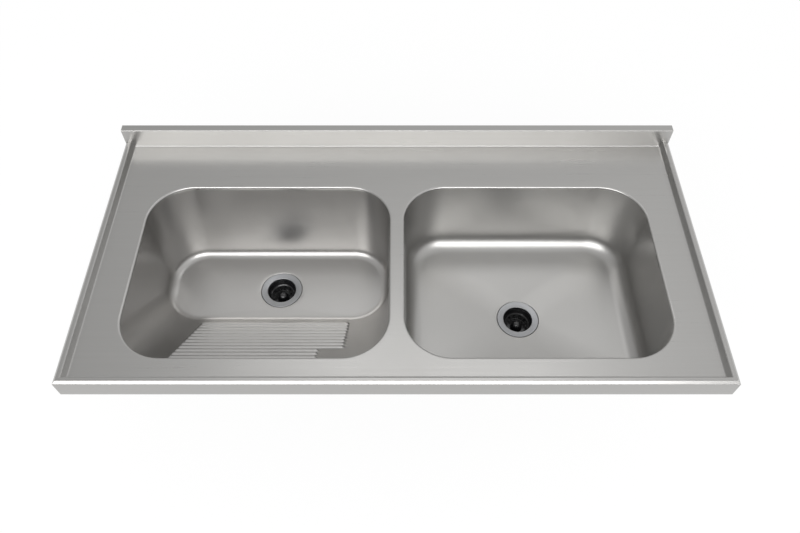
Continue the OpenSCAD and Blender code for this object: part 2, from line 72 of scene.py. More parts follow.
def smoothFaces(obj, angle=creaseAngle):
    obj.data.shade_smooth()
    obj.data.set_sharp_from_angle(angle=math.radians(angle))


def cleanMesh(obj):
    bm = bmesh.new()
    bm.from_mesh(obj.data)
    bmesh.ops.remove_doubles(bm, verts=bm.verts, dist=mergeGap)
    bmesh.ops.dissolve_degenerate(bm, edges=bm.edges, dist=mergeGap)
    bmesh.ops.recalc_face_normals(bm, faces=bm.faces)
    upward = sum(face.normal.z * face.calc_area() for face in bm.faces)
    if upward < 0 and any(edge.is_boundary for edge in bm.edges):
        bmesh.ops.reverse_faces(bm, faces=bm.faces)  # open sheets are drawn with their upper side out
    bm.to_mesh(obj.data)
    bm.free()
    smoothFaces(obj)


def applyModifiers(obj):
    depsgraph = bpy.context.evaluated_depsgraph_get()
    plain = bpy.data.meshes.new_from_object(obj.evaluated_get(depsgraph), depsgraph=depsgraph)
    obj.modifiers.clear()
    obj.data = plain


# the sheet grows away from the side that is drawn
def addThickness(obj, thickness, angle=creaseAngle):
    wall = obj.modifiers.new("wall", "SOLIDIFY")
    wall.thickness = thickness * mm
    wall.offset = -1
    wall.use_even_offset = True
    applyModifiers(obj)
    smoothFaces(obj, angle)


def fit(obj, material, slotName, body, *nodes):
    obj.data.materials.clear()
    obj.data.materials.append(material)
    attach(obj, body)
    if nodes:
        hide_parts(*nodes)


def direction(angle):
    return math.cos(math.radians(angle)), math.sin(math.radians(angle))


# points of an arc, both ends included, its angles in degrees
def arc(centre, radius, first, last, steps):
    points = []
    for k in range(steps + 1):
        ax, ay = direction(first + (last - first) * k / steps)
        points.append((centre[0] + radius * ax, centre[1] + radius * ay))
    return points


# faces between neighbouring lines of points, each line with the same number of them
def joinLines(faces, start, lineCount, perLine, flip=False):
    for line in range(lineCount - 1):
        for i in range(perLine - 1):
            a = start + line * perLine + i
            b = a + perLine
            faces.append((a, b, b + 1, a + 1) if flip else (a, a + 1, b + 1, b))


# turns an outline of radius and height about an upright axis
def lathe(name, outline, at=(0, 0, 0), steps=96, closed=True):
    grainRound = 0.2    # width of the grain's map round the axis, in metres
    verts, grainPlaces, faces = [], [], []
    rows = outline + outline[:1] if closed else outline
    for k in range(steps + 1):
        ax, ay = direction(360 * k / steps)
        down = 0
        for i, (radius, z) in enumerate(rows):
            if i:
                down += math.dist((radius, z), rows[i - 1])
            verts.append((at[0] + radius * ax, at[1] + radius * ay, at[2] + z))
            grainPlaces.append((k / steps * grainRound, down * mm))
    joinLines(faces, 0, steps + 1, len(rows))
    return makeObject(name, verts, faces, grainPlaces)


# rounds the corners of a closed outline of radius and height
def softened(outline, radius, steps=3):
    mostOfEdge = 0.45
    result = []
    for i, corner in enumerate(outline):
        before, after = Vector(outline[i - 1]), Vector(outline[(i + 1) % len(outline)])
        here = Vector(corner)
        reach = min(radius, (before - here).length * mostOfEdge, (after - here).length * mostOfEdge)
        first = here + (before - here).normalized() * reach
        last = here + (after - here).normalized() * reach
        for k in range(steps + 1):
            t = k / steps
            result.append(tuple((first.lerp(here, t)).lerp(here.lerp(last, t), t)))
    return result


# bent sheet: each step is straight length, bend to the right in degrees, bend radius
def foldLine(steps, start, heading):
    x, y = start
    line = [(x, y)]
    for run, bend, radius in steps:
        dx, dy = direction(heading)
        x, y = x + run * dx, y + run * dy
        line.append((x, y))
        if bend:
            side = 1 if bend < 0 else -1
            cx, cy = direction(heading + 90 * side)
            begin = heading - 90 * side
            line.extend(arc((x + radius * cx, y + radius * cy), radius, begin, begin - bend, bendSteps)[1:])
            x, y = line[-1]
            heading -= bend
    return line


# materials


def nodeMaker(tree):
    def make(kind, inputs=None, **settings):
        node = tree.nodes.new(kind)
        for key, value in settings.items():
            setattr(node, key, value)
        for key, value in (inputs or {}).items():
            if isinstance(value, bpy.types.NodeSocket):
                tree.links.new(value, node.inputs[key])
            else:
                node.inputs[key].default_value = value
        return node
    return make


def newGroup(name, inputs, outputs):
    group = bpy.data.node_groups.new(name, "ShaderNodeTree")
    for label, kind, value in inputs:
        socket = group.interface.new_socket(name=label, in_out="INPUT", socket_type="NodeSocket" + kind)
        if value is not None:
            socket.default_value = value
    for label, kind in outputs:
        group.interface.new_socket(name=label, in_out="OUTPUT", socket_type="NodeSocket" + kind)
    return group


def newTree(name, inputs):
    tree = bpy.data.node_groups.new(name, "GeometryNodeTree")
    tree.is_modifier = True
    tree.interface.new_socket(name="Geometry", in_out="INPUT", socket_type="NodeSocketGeometry")
    for label, kind in inputs:
        tree.interface.new_socket(name=label, in_out="INPUT", socket_type="NodeSocket" + kind)
    tree.interface.new_socket(name="Geometry", in_out="OUTPUT", socket_type="NodeSocketGeometry")
    make = nodeMaker(tree)
    return tree, make, make("NodeGroupInput"), make("NodeGroupOutput")


# every tree ends in real geometry with its finish
def finishTree(tree, make, geometry, finish, result):
    real = make("GeometryNodeRealizeInstances", {"Geometry": geometry})
    finished = make("GeometryNodeSetMaterial", {"Geometry": real.outputs[0], "Material": finish})
    tree.links.new(finished.outputs[0], result.inputs[0])


def runTree(obj, tree, values):
    sockets = {item.name: item.identifier for item in tree.interface.items_tree if item.in_out == "INPUT"}
    modifier = obj.modifiers.new(tree.name, "NODES")
    modifier.node_group = tree
    for label, value in values.items():
        modifier[sockets[label]] = value
    applyModifiers(obj)


def mathMaker(make):
    def compute(operation, *values, **settings):
        return make("ShaderNodeMath", dict(enumerate(values)), operation=operation, **settings).outputs[0]
    return compute


# long fine lines left by the brushing belt, with a few deeper scratches and soft handling marks
def buildBrushGroup():
    group = newGroup("brushedGrain", [
        ("Vector", "Vector", None), ("Color", "Color", (0.5, 0.5, 0.49, 1)), ("Line Scale", "Float", 900.0),
        ("Line Stretch", "Float", 0.012), ("Roughness", "Float", 0.3), ("Roughness Spread", "Float", 0.08),
        ("Shade Spread", "Float", 0.06), ("Cloud Scale", "Float", 9.0), ("Cloud Amount", "Float", 0.05),
    ], [("Color", "Color"), ("Roughness", "Float"), ("Height", "Float")])
    make = nodeMaker(group)
    compute = mathMaker(make)
    value = make("NodeGroupInput").outputs
    result = make("NodeGroupOutput").inputs
    bandScale, bandShare = 0.22, 0.45    # wider lines among the fine ones
    squeeze = make("ShaderNodeCombineXYZ", {"X": value["Line Stretch"], "Y": 1.0, "Z": 1.0})
    along = make("ShaderNodeVectorMath", {0: value["Vector"], 1: squeeze.outputs[0]}, operation="MULTIPLY")
    lines = make("ShaderNodeTexNoise", {"Vector": along.outputs[0], "Scale": value["Line Scale"],
                                        "Detail": 3.0, "Roughness": 0.7})
    bands = make("ShaderNodeTexNoise", {
        "Vector": along.outputs[0], "Scale": compute("MULTIPLY", value["Line Scale"], bandScale),
        "Detail": 2.0, "Roughness": 0.5})
    clouds = make("ShaderNodeTexNoise", {"Vector": value["Vector"], "Scale": value["Cloud Scale"],
                                         "Detail": 3.0, "Roughness": 0.55})
    mixed = make("ShaderNodeMix", {0: bandShare, 2: lines.outputs["Fac"], 3: bands.outputs["Fac"]},
                 data_type="FLOAT").outputs[0]
    centred = compute("SUBTRACT", mixed, 0.5)
    cloudCentred = compute("SUBTRACT", clouds.outputs["Fac"], 0.5)
    roughLines = compute("MULTIPLY_ADD", centred, value["Roughness Spread"], value["Roughness"])
    roughAll = compute("MULTIPLY_ADD", cloudCentred, value["Cloud Amount"], roughLines, use_clamp=True)
    tint = make("ShaderNodeVectorMath", {0: value["Color"]}, operation="SCALE")
    group.links.new(compute("MULTIPLY_ADD", centred, value["Shade Spread"], 1.0), tint.inputs["Scale"])
    group.links.new(tint.outputs[0], result["Color"])
    group.links.new(roughAll, result["Roughness"])
    group.links.new(mixed, result["Height"])
    return group


# soft unevenness of moulded plastic and rubber, with a little dust where it lies
def buildMouldGroup():
    group = newGroup("mouldedSkin", [
        ("Color", "Color", (0.5, 0.5, 0.5, 1)), ("Grain Scale", "Float", 1800.0), ("Roughness", "Float", 0.4),
        ("Roughness Spread", "Float", 0.1), ("Shade Spread", "Float", 0.06), ("Dust", "Float", 0.1),
        ("Dust Color", "Color", (0.4, 0.38, 0.35, 1)),
    ], [("Color", "Color"), ("Roughness", "Float"), ("Height", "Float")])
    make = nodeMaker(group)
    compute = mathMaker(make)
    value = make("NodeGroupInput").outputs
    result = make("NodeGroupOutput").inputs
    patchScale = 60.0
    place = make("ShaderNodeTexCoord").outputs["Object"]
    grain = make("ShaderNodeTexNoise", {"Vector": place, "Scale": value["Grain Scale"], "Detail": 2.0})
    patches = make("ShaderNodeTexNoise", {"Vector": place, "Scale": patchScale, "Detail": 4.0}).outputs["Fac"]
    centred = compute("SUBTRACT", patches, 0.5)
    rough = compute("MULTIPLY_ADD", centred, value["Roughness Spread"], value["Roughness"], use_clamp=True)
    tint = make("ShaderNodeVectorMath", {0: value["Color"]}, operation="SCALE")
    group.links.new(compute("MULTIPLY_ADD", centred, value["Shade Spread"], 1.0), tint.inputs["Scale"])
    upward = make("ShaderNodeSeparateXYZ", {0: make("ShaderNodeNewGeometry").outputs["Normal"]})
    settled = compute("MULTIPLY", upward.outputs["Z"], patches, use_clamp=True)
    dusty = make("ShaderNodeMix", {0: compute("MULTIPLY", settled, value["Dust"]), 6: tint.outputs[0],
                                   7: value["Dust Color"]}, data_type="RGBA")
    group.links.new(dusty.outputs[2], result["Color"])
    group.links.new(rough, result["Roughness"])
    group.links.new(grain.outputs["Fac"], result["Height"])
    return group


brushGroup = buildBrushGroup()
mouldGroup = buildMouldGroup()


def startMaterial(name, metallic, bumpStrength, bumpDistance, group, values):
    material = bpy.data.materials.new(name)
    material.use_nodes = True
    tree = material.node_tree
    tree.nodes.clear()
    make = nodeMaker(tree)
    shader = make("ShaderNodeBsdfPrincipled", {"Metallic": metallic})
    output = make("ShaderNodeOutputMaterial")
    tree.links.new(shader.outputs[0], output.inputs[0])
    skin = make("ShaderNodeGroup", node_tree=group)
    for label, value in values.items():
        skin.inputs[label].default_value = value
    bump = make("ShaderNodeBump", {"Strength": bumpStrength, "Distance": bumpDistance,
                                   "Height": skin.outputs["Height"]})
    tree.links.new(skin.outputs["Color"], shader.inputs["Base Color"])
    tree.links.new(skin.outputs["Roughness"], shader.inputs["Roughness"])
    tree.links.new(bump.outputs[0], shader.inputs["Normal"])
    return material, make, skin, shader


def brushedSteel(name, coordinate, look):
    material, make, skin, _ = startMaterial(
        name, 1.0, look["bumpStrength"], look["bumpDepth"] * mm, brushGroup, look["grain"])
    if coordinate == "UV":
        source = make("ShaderNodeUVMap", uv_map="grainMap").outputs[0]
    else:
        source = make("ShaderNodeTexCoord").outputs["Object"]
    material.node_tree.links.new(source, skin.inputs["Vector"])
    return material


steelLook = {
    "sheet": {
        "bumpStrength": 0.25, "bumpDepth": 0.06,
        "grain": {"Color": (0.43, 0.425, 0.415, 1), "Line Scale": 700.0, "Line Stretch": 0.012,
                  "Roughness": 0.3, "Roughness Spread": 0.16, "Shade Spread": 0.12, "Cloud Scale": 7.0,
                  "Cloud Amount": 0.06},
    },
    "bowl": {
        "bumpStrength": 0.05, "bumpDepth": 0.008,
        "grain": {"Color": (0.43, 0.425, 0.415, 1), "Line Scale": 1100.0, "Line Stretch": 0.02,
                  "Roughness": 0.36, "Roughness Spread": 0.05, "Shade Spread": 0.05, "Cloud Scale": 8.0,
                  "Cloud Amount": 0.03},
    },
    # the tub's steel is the bowl's pressed steel with its colour painted lighter, as painted light on the tub
    "tub": {
        "bumpStrength": 0.05, "bumpDepth": 0.008,
        "grain": {"Color": (0.455, 0.448, 0.438, 1), "Line Scale": 1100.0, "Line Stretch": 0.02,
                  "Roughness": 0.32, "Roughness Spread": 0.05, "Shade Spread": 0.05, "Cloud Scale": 8.0,
                  "Cloud Amount": 0.03},
    },
    "waste": {
        "bumpStrength": 0.15, "bumpDepth": 0.03,
        "grain": {"Color": (0.33, 0.335, 0.344, 1), "Line Scale": 900.0, "Line Stretch": 0.05,
                  "Roughness": 0.32, "Roughness Spread": 0.1, "Shade Spread": 0.06, "Cloud Scale": 30.0,
                  "Cloud Amount": 0.05},
    },
}
sheetSteel = brushedSteel("brushedSheetSteel", "Object", steelLook["sheet"])
bowlSteel = brushedSteel("pressedBowlSteel", "UV", steelLook["bowl"])
# a lighter copy of the bowl's steel: painted light that brightens the tub
tubSteelPaintedLight = brushedSteel("pressedTubSteelPaintedLight", "UV", steelLook["tub"])
wasteSteel = brushedSteel("turnedFlangeSteel", "UV", steelLook["waste"])


def mouldedMaterial(name, look):
    material, _, _, shader = startMaterial(
        name, 0.0, look["bumpStrength"], look["bumpDepth"] * mm, mouldGroup, look["skin"])
    shader.inputs["Specular IOR Level"].default_value = look.get("specular", 0.5)
    shader.inputs["Coat Weight"].default_value = look.get("coat", 0.0)
    shader.inputs["Coat Roughness"].default_value = look.get("coatRoughness", 0.05)
    return material


plasticLook = {
    "black": {"bumpStrength": 0.1, "bumpDepth": 0.03, "specular": 0.6, "coat": 0.3, "coatRoughness": 0.12,
              "skin": {"Color": (0.008, 0.008, 0.009, 1), "Roughness": 0.2, "Roughness Spread": 0.1,
                       "Grain Scale": 2500.0, "Dust": 0.02}},
    "white": {"bumpStrength": 0.15, "bumpDepth": 0.04,
              "skin": {"Color": (0.74, 0.74, 0.71, 1), "Roughness": 0.42, "Roughness Spread": 0.12,
                       "Shade Spread": 0.08, "Dust": 0.12}},
    "rubber": {"bumpStrength": 0.3, "bumpDepth": 0.05, "specular": 0.35,
               "skin": {"Color": (0.03, 0.03, 0.032, 1), "Roughness": 0.68, "Roughness Spread": 0.12,
                        "Shade Spread": 0.3, "Dust": 0.15}},
    "pad": {"bumpStrength": 0.5, "bumpDepth": 0.15, "specular": 0.3,
            "skin": {"Color": (0.085, 0.085, 0.09, 1), "Roughness": 0.8, "Roughness Spread": 0.1,
                     "Grain Scale": 700.0, "Shade Spread": 0.35, "Dust": 0.1}},
}
blackPlastic = mouldedMaterial("blackWastePlastic", plasticLook["black"])
whitePlastic = mouldedMaterial("whiteFittingPlastic", plasticLook["white"])
blackRubber = mouldedMaterial("sealRubber", plasticLook["rubber"])
padRubber = mouldedMaterial("soundPadRubber", plasticLook["pad"])


# zinc crystals: flat patches of slightly different grey and gloss
def galvanisedSteel(look):
    material, make, skin, shader = startMaterial(
        "galvanisedRail", 0.9, look["bumpStrength"], look["bumpDepth"] * mm, mouldGroup, look["skin"])
    tree = material.node_tree
    place = make("ShaderNodeTexCoord").outputs["Object"]
    crystals = make("ShaderNodeTexVoronoi", {"Vector": place, "Scale": look["crystalScale"]})
    shades = make("ShaderNodeMapRange", {0: crystals.outputs["Color"], 3: look["darkest"], 4: 1.0})
    tint = make("ShaderNodeVectorMath", {0: skin.outputs["Color"]}, operation="SCALE")
    tree.links.new(shades.outputs[0], tint.inputs["Scale"])
    gloss = make("ShaderNodeMapRange", {
        0: crystals.outputs["Color"], 3: look["smoothest"], 4: look["roughest"]})
    tree.links.new(tint.outputs[0], shader.inputs["Base Color"])
    tree.links.new(gloss.outputs[0], shader.inputs["Roughness"])
    return material


railLook = {"bumpStrength": 0.2, "bumpDepth": 0.05, "crystalScale": 140.0, "darkest": 0.72, "smoothest": 0.32,
            "roughest": 0.5,
            "skin": {"Color": (0.5, 0.52, 0.54, 1), "Roughness": 0.4, "Shade Spread": 0.1, "Dust": 0.1}}
railZinc = galvanisedSteel(railLook)
print("materials made")


# worktop

worktop = {
    "width": 1200, "depth": 602, "sheet": 1, "edgeHeight": 46, "rimHeight": 13, "rimTop": 10,
    "noseRadius": 1.5, "noseSlope": 42, "noseRun": 5.4, "rimSlope": 63, "rimBlend": 3, "hem": 12,
    "hemRadius": 2,
    "splashHeight": 47, "splashDepth": 18, "splashFoot": 2.5, "splashEdge": 2, "splashLeg": 25,
    "splashInset": 0.2, "lap": 1,
}
opening = {"width": 500, "depth": 404, "gap": 30, "front": 58, "corner": 88, "cornerSteps": 28, "lip": 4,
           "lipSteps": 8, "collar": 8}

frontY = -worktop["depth"] / 2
backY = worktop["depth"] / 2
deckZ = worktop["edgeHeight"] - worktop["rimHeight"]
weldZ = deckZ - opening["collar"]
bowlY = frontY + opening["front"] + opening["depth"] / 2
bowlX = (opening["gap"] + opening["width"]) / 2
slopeCos, slopeSin = direction(worktop["rimSlope"])
rimRun = (worktop["rimHeight"] - 2 * worktop["rimBlend"] * (1 - slopeCos)) / slopeSin


# points round a rounded rectangle, each with its outward angle, starting in the middle of the right side
def roundedOutline(width, depth, radius, cornerSteps, sideSteps):
    points = []
    for side in range(4):
        nx, ny = direction(side * 90)
        half = (width if side % 2 == 0 else depth) / 2
        run = (depth if side % 2 == 0 else width) / 2 - radius
        steps = sideSteps[side]
        shares = steps if isinstance(steps, list) else [k / steps for k in range(-steps, steps + 1)]
        for share in shares:
            if side or share >= 0:
                points.append((nx * half - ny * run * share, ny * half + nx * run * share, side * 90))
        for k in range(1, cornerSteps):
            angle = side * 90 + 90 * k / cornerSteps
            ax, ay = direction(angle)
            mx, my = direction(side * 90 + 45)
            cx = math.copysign(width / 2 - radius, mx)
            cy = math.copysign(depth / 2 - radius, my)
            points.append((cx + radius * ax, cy + radius * ay, angle))
    for k in range(-sideSteps[0], 0):
        points.append((width / 2, (depth / 2 - radius) * k / sideSteps[0], 360))
    return points


# points from the deck over the rolled lip down to the weld, for one opening
def lipProfile(lap):
    lip = opening["lip"]
    roll = arc((lip, deckZ - lip), lip, 90, 180, opening["lipSteps"])
    return [(lip + lap, deckZ)] + roll + [(0, weldZ)]


def buildWorktop(spec):
    verts, faces = [], []

    # rim: one profile carried along the left, front and right edges, its nose flattened to a narrow slope
    noseReach, noseRise = direction(spec["noseSlope"])
    rim = foldLine([
        (spec["hem"] - spec["hemRadius"], 90, spec["hemRadius"]),
        (spec["edgeHeight"] - spec["hemRadius"] - spec["noseRadius"] - spec["noseRun"] * noseRise,
         90 - spec["noseSlope"], spec["noseRadius"]),
        (spec["noseRun"], spec["noseSlope"], spec["noseRadius"]),
        (spec["rimTop"] - spec["noseRadius"] - spec["noseRun"] * noseReach, spec["rimSlope"],
         spec["rimBlend"]),
        (rimRun, -spec["rimSlope"], spec["rimBlend"]),
        (spec["lap"], 0, 0)], (spec["hem"], 0), 180)
    rimEnd = rim[-1][0]
    splashStart = backY - spec["splashDepth"] - spec["splashFoot"] - spec["lap"]
    halfW = spec["width"] / 2
    leftSide = [(-1, backY, 0), (-1, splashStart, 0), (-1, frontY, 1)]
    stations = leftSide + [(1, y, corner) for _, y, corner in leftSide[::-1]]
    for side, y, corner in stations:
        verts.extend((side * (halfW - inset), y + inset * corner, z) for inset, z in rim)
    joinLines(faces, 0, len(stations), len(rim))

    # backsplash: folded up from the deck, over the top and a short way down the back
    start = len(verts)
    end = halfW - spec["splashInset"]
    fold = foldLine([
        (0, -90, spec["splashFoot"]),
        (spec["splashHeight"] - spec["splashFoot"] - spec["splashEdge"], 90, spec["splashEdge"]),
        (spec["splashDepth"] - 2 * spec["splashEdge"], 90, spec["splashEdge"]),
        (spec["splashLeg"] - spec["splashEdge"], 0, 0)], (splashStart + spec["lap"], deckZ), 0)[1:]
    for x in (-end, -halfW + rimEnd, halfW - rimEnd, end):
        verts.extend((x, y, z) for y, z in fold)
    n = len(fold)
    joinLines(faces, start, 4, n, flip=True)
    flap = len(verts)
    verts.extend([(-halfW + rimEnd, splashStart, deckZ), (halfW - rimEnd, splashStart, deckZ)])
    faces.append((flap, flap + 1, start + 2 * n, start + n))
    for column, flip in ((0, False), (3, True)):
        base = len(verts)
        x = verts[start + column * n][0]
        verts.extend([(x, backY, deckZ), (x, backY - spec["splashDepth"], deckZ)])
        ring = [start + column * n + i for i in range(bendSteps, n)] + [base, base + 1]
        faces.append(tuple(ring if flip else ring[::-1]))

    # rolled lips round both openings
    for side in (-1, 1):
        firstRing = len(verts)
        lipLine = lipProfile(spec["lap"])
        for outset, z in lipLine:
            outline = roundedOutline(opening["width"] + 2 * outset, opening["depth"] + 2 * outset,
                                     opening["corner"] + outset, opening["cornerSteps"], (1, 1, 1, 1))
            verts.extend((side * bowlX + x, bowlY + y, z) for x, y, angle in outline)
        count = len(outline)
        for upper in range(firstRing, firstRing + count * (len(lipLine) - 1), count):
            lower = upper + count
            for i in range(count):
                j = (i + 1) % count
                faces.append((lower + i, lower + j, upper + j, upper + i))

    obj = makeObject("worktopSheet", verts, faces)
    fillDeck(obj, splashStart, halfW - rimEnd)
    cleanMesh(obj)
    addThickness(obj, spec["sheet"])
    return obj


# flat deck between the rim, the backsplash and the two openings
def fillDeck(obj, yBack, xEnd):
    close = 0.01
    bm = bmesh.new()
    bm.from_mesh(obj.data)
    edges = []
    for edge in bm.edges:
        if not edge.is_boundary:
            continue
        a, b = (v.co / mm for v in edge.verts)
        onDeck = abs(a.z - deckZ) <= close and abs(b.z - deckZ) <= close
        if onDeck and max(a.y, b.y) <= yBack + close and abs(a.x) <= xEnd + close:
            edges.append(edge)
    bmesh.ops.triangle_fill(bm, use_beauty=True, edges=edges, normal=(0, 0, 1))
    bm.to_mesh(obj.data)
    bm.free()


fit(buildWorktop(worktop), sheetSteel, "brushed_sheet", "sink", "worktop")
print("worktop made")


# bowls

# washboard on the tub's front slope, the ribs at the top shorter than the rest
ribs = {"Count": 12, "Pitch": 19.7 * mm, "Height": 4 * mm, "Radius": 7 * mm, "First": 10 * mm,
        "Left": -410 * mm, "Right": -106 * mm, "Short Count": 3, "Short By": 46 * mm}
# where the mesh is finer: across half a rib in shares of its half width, and round the ribs' ends
ribMesh = {"shares": (-1.13, -1.04, -0.96, -0.86, -0.72, -0.54, -0.33, -0.11), "slopeEnd": 0.96,
           "fineStep": 2, "coarseStep": 9, "fineReach": 12}
bowl = {"sheet": 1, "floorDepth": 188, "seatDepth": 4, "seatRadius": 45.4, "seatEdge": 1.6, "seatBend": 1,
        "holeRadius": 36, "wallSteps": 24, "filletSteps": 10, "floorSteps": 14, "floorCrowding": 0.8}
rinse = {"x": bowlX, "floorX": bowlX, "floorY": bowlY, "drainX": bowlX, "drainY": bowlY,
         "width": 490, "depth": 394, "corner": 83, "fillet": 38, "lower": 0, "fall": 17,
         "sideSteps": (8, 10, 8, 10), "seam": 180}
wash = {"x": -bowlX, "floorX": -bowlX + 2, "floorBack": 32, "drainX": -bowlX + 7, "drainBack": 134,
        "width": 488, "depth": 190, "corner": 79, "fillet": 20, "lower": 3.5, "fall": 0.5, "seam": 0}
openingBack = bowlY + opening["depth"] / 2
wash["floorY"] = openingBack - wash["floorBack"] - wash["depth"] / 2
wash["drainY"] = openingBack - wash["drainBack"]
for spec in (rinse, wash):
    spec["floorZ"] = deckZ - bowl["floorDepth"] - spec["lower"]
    spec["rimZ"] = spec["floorZ"] - spec["fall"]
    spec["seatZ"] = spec["rimZ"] - bowl["seatDepth"]

slopeTop = (0, bowlY - opening["depth"] / 2, weldZ)
reachY = wash["floorY"] - wash["depth"] / 2 + wash["fillet"] - slopeTop[1]
reachZ = weldZ - wash["floorZ"] - wash["fillet"]
slopeLength = math.sqrt(reachY ** 2 + reachZ ** 2 - wash["fillet"] ** 2)
slopeAngle = math.atan2(reachZ, reachY) + math.asin(wash["fillet"] / math.hypot(reachY, reachZ))


def ribRows():
    halfWidth = math.sqrt(ribs["Radius"] ** 2 - (ribs["Radius"] - ribs["Height"]) ** 2)
    rows = [0]
    for i in range(ribs["Count"]):
        crest = ribs["First"] + i * ribs["Pitch"]
        half = [halfWidth * share for share in ribMesh["shares"]]
        rows.extend(crest + step for step in half)
        rows.extend(crest - step for step in half[::-1])
    return [row / mm / slopeLength for row in rows] + [ribMesh["slopeEnd"]]


def ribColumns():
    run = opening["width"] / 2 - opening["corner"]
    ends = [x / mm - wash["x"] for x in (ribs["Left"], ribs["Right"], ribs["Right"] - ribs["Short By"])]
    x = -run
    shares = []
    while x < run:
        shares.append(x / run)
        nearEnd = min(abs(x - end) for end in ends) < ribMesh["fineReach"]
        x += ribMesh["fineStep"] if nearEnd else ribMesh["coarseStep"]
    return shares + [1]


rinse["wallShares"] = [k / bowl["wallSteps"] for k in range(bowl["wallSteps"])]
wash["wallShares"] = ribRows()
wash["sideSteps"] = (8, 10, 8, ribColumns())


# section through the drain's recess, from the floor's end down to the hole's edge
def seatProfile(rimZ, seatZ):
    edge, bend = bowl["seatEdge"], bowl["seatBend"]
    rounded = arc((bowl["seatRadius"] + edge, rimZ - edge), edge, 90, 180, 5)[1:]
    foot = arc((bowl["seatRadius"] - bend, seatZ + bend), bend, 0, -90, 4)
    return rounded + foot + [(bowl["holeRadius"], seatZ)]


def between(start, end, share):
    return tuple(a + (b - a) * share for a, b in zip(start, end))


# lines down the wall, round the fillet and over the floor, one for each point of the opening's outline
def bowlColumn(top, centre, normal, spec, drain):
    nx, ny = normal
    r = spec["fillet"]
    out = (top[0] - centre[0]) * nx + (top[1] - centre[1]) * ny
    up = weldZ - centre[2]
    lean = math.acos(r / math.hypot(out, up)) - math.atan2(up, out)
    inward = (centre[0] - drain[0]) * nx + (centre[1] - drain[1]) * ny - bowl["seatRadius"]
    high = centre[2] - spec["rimZ"]
    fallAngle = math.atan2(high, inward) - math.asin(r / math.hypot(high, inward))
    first, last = -lean, -(math.pi / 2 - fallAngle)
    fillet = []
    for k in range(bowl["filletSteps"] + 1):
        a = first + (last - first) * k / bowl["filletSteps"]
        reach = r * math.cos(a)
        fillet.append((centre[0] + reach * nx, centre[1] + reach * ny, centre[2] + r * math.sin(a)))
    line = [between((top[0], top[1], weldZ), fillet[0], share) for share in spec["wallShares"]] + fillet
    edge = bowl["seatRadius"] + bowl["seatEdge"]
    rimPoint = (drain[0] + edge * nx, drain[1] + edge * ny, spec["rimZ"])
    for k in range(1, bowl["floorSteps"] + 1):
        line.append(between(fillet[-1], rimPoint, (k / bowl["floorSteps"]) ** bowl["floorCrowding"]))
    for radius, z in seatProfile(spec["rimZ"], spec["seatZ"]):
        line.append((drain[0] + radius * nx, drain[1] + radius * ny, z))
    return line


def buildBowl(name, spec):
    outline = roundedOutline(opening["width"], opening["depth"], opening["corner"], opening["cornerSteps"],
                             spec["sideSteps"])
    floor = roundedOutline(spec["width"] - 2 * spec["fillet"], spec["depth"] - 2 * spec["fillet"],
                           spec["corner"] - spec["fillet"], opening["cornerSteps"], spec["sideSteps"])
    close = 0.01
    seam = next(i for i, (_, y, angle) in enumerate(outline) if angle == spec["seam"] and abs(y) < close)
    outline = outline[seam:] + outline[:seam]
    floor = floor[seam:] + floor[:seam]
    drain = (spec["drainX"], spec["drainY"], spec["rimZ"])
    columns = []
    for (tx, ty, angle), (cx, cy, _) in zip(outline, floor):
        columns.append(bowlColumn((spec["x"] + tx, bowlY + ty), (spec["floorX"] + cx, spec["floorY"] + cy,
                                  spec["floorZ"] + spec["fillet"]), direction(angle), spec, drain))
    count = len(columns)
    verts, grainPlaces, faces = [], [], []
    around = 0
    for c in range(count + 1):
        column = columns[c % count]
        down = 0
        for r, point in enumerate(column):
            if r:
                down += math.dist(point, column[r - 1])
            verts.append(point)
            grainPlaces.append((around * mm, down * mm))
        around += math.dist(column[0], columns[(c + 1) % count][0])
    joinLines(faces, 0, count + 1, len(columns[0]), flip=True)
    return makeObject(name, verts, faces, grainPlaces)


rinseShell = buildBowl("rinseBowlShell", rinse)
addThickness(rinseShell, bowl["sheet"])
fit(rinseShell, bowlSteel, "bowl_steel", "sink", "rinse_bowl")
washShell = buildBowl("washTubShell", wash)


